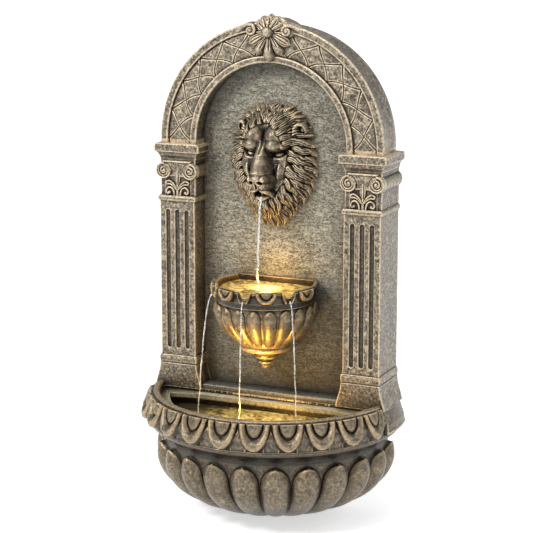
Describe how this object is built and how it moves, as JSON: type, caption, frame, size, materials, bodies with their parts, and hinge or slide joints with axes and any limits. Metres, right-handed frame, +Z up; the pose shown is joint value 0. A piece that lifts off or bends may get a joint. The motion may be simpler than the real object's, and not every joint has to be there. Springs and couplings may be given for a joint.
{
  "type": "garden wall fountain",
  "caption": "Wall fountain with an arched back on fluted pilasters, a lion mask spout, an upper bowl with pouring lips and a gadrooned half-round basin with pump and lights.",
  "frame": {"origin": "middle of the basin's flat foot, on the axis that the basin is turned about", "axes": "+Z up, +Y to the wall behind, +X to the right of someone facing the fountain"},
  "size_m": [0.4214, 0.2635, 0.798],
  "materials": {
    "cast_basin": "cast resin, bronze-coloured, dry-brushed gold on raised edges",
    "cast_back": "cast resin, grey olive panel, bronze-coloured frame",
    "cast_bowl": "cast resin, bronze-coloured, dry-brushed gold on raised edges",
    "cast_mask": "cast resin, bronze-coloured, dry-brushed gold on raised edges",
    "cast_shell": "cast resin, bronze-coloured, dry-brushed gold on raised edges",
    "cover_sheet": "satin sheet",
    "zinc_steel": "zinc plated",
    "spout_brass": "dull",
    "hose_vinyl": "smooth flexible vinyl",
    "clip_plastic": "moulded",
    "black_rubber": "moulded",
    "gland_plastic": "moulded",
    "pump_plastic": "moulded",
    "knob_plastic": "moulded",
    "rotor_plastic": "moulded",
    "ceramic": "polished ceramic",
    "light_housing": "moulded",
    "light_board": "board with four emitters",
    "light_lens": "clear",
    "lead_vinyl": "smooth"
  },
  "bodies": {
    "fountain": {"lower_basin": "cast_basin", "back_shell": "cast_back", "upper_bowl": "cast_bowl", "lion_mask": "cast_mask", "keystone_shell": "cast_shell", "rear_cover": "cover_sheet", "access_cover": "cover_sheet", "left_hanger_plate": "zinc_steel", "right_hanger_plate": "zinc_steel", "rear_cover_screws": "zinc_steel", "access_cover_screws": "zinc_steel", "hanger_screws": "zinc_steel", "bowl_screws": "zinc_steel", "mask_screws": "zinc_steel", "joint_bolts": "zinc_steel", "joint_nuts": "zinc_steel", "spout_elbow": "spout_brass", "riser_hose": "hose_vinyl", "hose_clips": "clip_plastic", "lead_clips": "clip_plastic", "hose_clamps": "zinc_steel", "hose_bulkhead": "black_rubber", "lead_grommets": "black_rubber", "cord_gland": "gland_plastic", "pump_housing": "pump_plastic", "pump_shaft": "ceramic", "pump_outlet": "pump_plastic", "pump_suction_cups": "black_rubber", "upper_light_housing": "light_housing", "upper_light_board": "light_board", "upper_light_lens": "light_lens", "lower_light_housing": "light_housing", "lower_light_board": "light_board", "lower_light_lens": "light_lens", "splice_box": "gland_plastic", "pump_lead": "lead_vinyl", "lower_light_lead": "lead_vinyl", "upper_light_lead": "lead_vinyl"},
    "rotor": {"pump_rotor": "rotor_plastic"},
    "intake": {"pump_intake_cover": "pump_plastic"},
    "knob": {"pump_flow_knob": "knob_plastic"}
  },
  "joints": [
    {"name": "impeller_spin", "type": "hinge", "parent": "fountain", "child": "rotor", "pos_m": [-0.0125, -0.082, 0.062], "axis": [-1, 0, 0], "continuous": true},
    {"name": "intake_cover_slide", "type": "slide", "parent": "fountain", "child": "intake", "axis": [-1, 0, 0], "range_m": [0, 0.02]},
    {"name": "flow_knob_turn", "type": "hinge", "parent": "intake", "child": "knob", "pos_m": [-0.056, -0.07, 0.062], "axis": [-1, 0, 0], "range_deg": [0, 90]}
  ]
}
